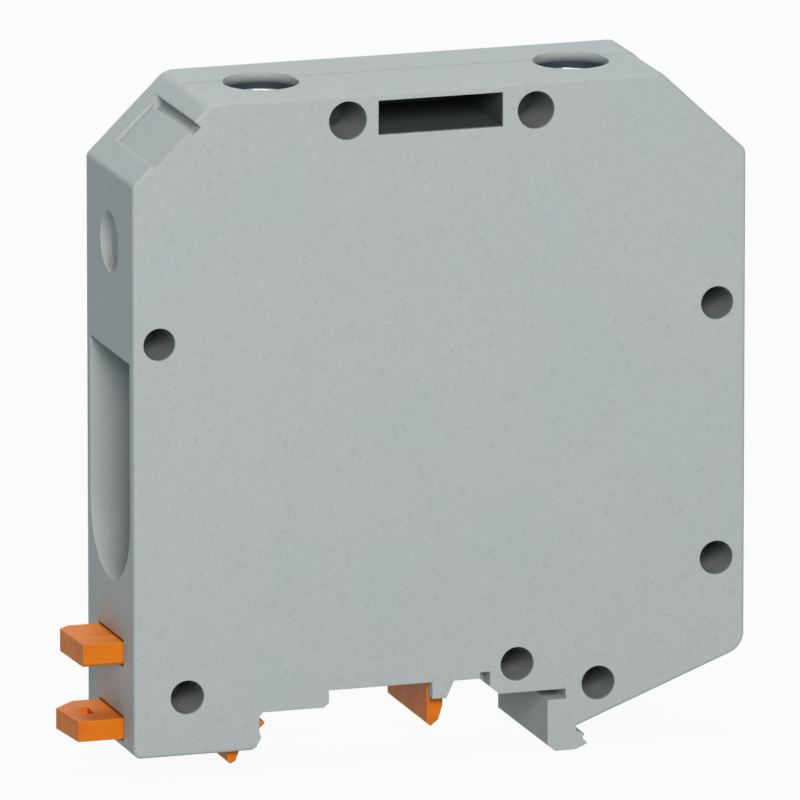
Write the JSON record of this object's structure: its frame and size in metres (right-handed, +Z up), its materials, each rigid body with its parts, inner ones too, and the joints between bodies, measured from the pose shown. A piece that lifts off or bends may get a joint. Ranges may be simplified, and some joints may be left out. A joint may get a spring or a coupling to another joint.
{
  "type": "din rail terminal block",
  "caption": "Tall slab-shaped feed-through terminal block for a 35 mm rail, with round-bottomed wire entries, screw clamps under top openings and sprung orange rail catches.",
  "frame": {"origin": "on the rail's centre line, in the plane of the rail seat, at the middle of the block's thickness", "axes": "+X along the block away from the catch tabs, +Y through the thickness away from the plain face, +Z up, away from the rail"},
  "size_m": [0.0762, 0.0178, 0.076],
  "materials": {
    "housing_grey": "moulded light grey polyamide",
    "pin_dark": "dark moulded plastic",
    "copper": "bare copper",
    "catch_orange": "moulded orange polyamide",
    "spring_steel": "drawn spring wire",
    "zinc_steel": "zinc plated steel"
  },
  "bodies": {
    "housing": {"front_shell": "housing_grey", "rear_shell": "housing_grey", "joining_pins": "pin_dark", "current_bar": "copper", "upper_catch_spring": "spring_steel", "lower_catch_spring": "spring_steel", "left_clamp_frame": "zinc_steel", "left_nut_plate": "zinc_steel", "left_bar_rivets": "copper", "right_clamp_frame": "zinc_steel", "right_nut_plate": "zinc_steel", "right_bar_rivets": "copper"},
    "upper_catch": {"upper_catch": "catch_orange"},
    "lower_catch": {"lower_catch": "catch_orange"},
    "left_pad": {"left_pressure_pad": "zinc_steel"},
    "left_screw": {"left_clamp_screw": "zinc_steel", "left_pad_ring": "spring_steel"},
    "right_pad": {"right_pressure_pad": "zinc_steel"},
    "right_screw": {"right_clamp_screw": "zinc_steel", "right_pad_ring": "spring_steel"}
  },
  "joints": [
    {"name": "upper_catch_slide", "type": "slide", "parent": "housing", "child": "upper_catch", "axis": [-1, 0, 0], "range_m": [0, 0.003], "stiffness_N_per_m": 600, "springref_m": -0.001, "deforming": ["upper_catch_spring"]},
    {"name": "lower_catch_slide", "type": "slide", "parent": "housing", "child": "lower_catch", "axis": [-1, 0, 0], "range_m": [0, 0.0025], "stiffness_N_per_m": 600, "springref_m": -0.001, "deforming": ["lower_catch_spring"]},
    {"name": "left_pad_slide", "type": "slide", "parent": "housing", "child": "left_pad", "axis": [0, 0, -1], "range_m": [0, 0.014]},
    {"name": "left_screw_turn", "type": "hinge", "parent": "left_pad", "child": "left_screw", "pos_m": [-0.0147, 0, 0.0675], "axis": [0, 0, -1], "range_deg": [0, 4032]},
    {"name": "right_pad_slide", "type": "slide", "parent": "housing", "child": "right_pad", "axis": [0, 0, -1], "range_m": [0, 0.014]},
    {"name": "right_screw_turn", "type": "hinge", "parent": "right_pad", "child": "right_screw", "pos_m": [0.021, 0, 0.0675], "axis": [0, 0, -1], "range_deg": [0, 4032]}
  ],
  "couplings": [
    {"joint": "left_screw_turn", "follows": "left_pad_slide", "rad_per_m": 5026.5},
    {"joint": "right_screw_turn", "follows": "right_pad_slide", "rad_per_m": 5026.5}
  ]
}
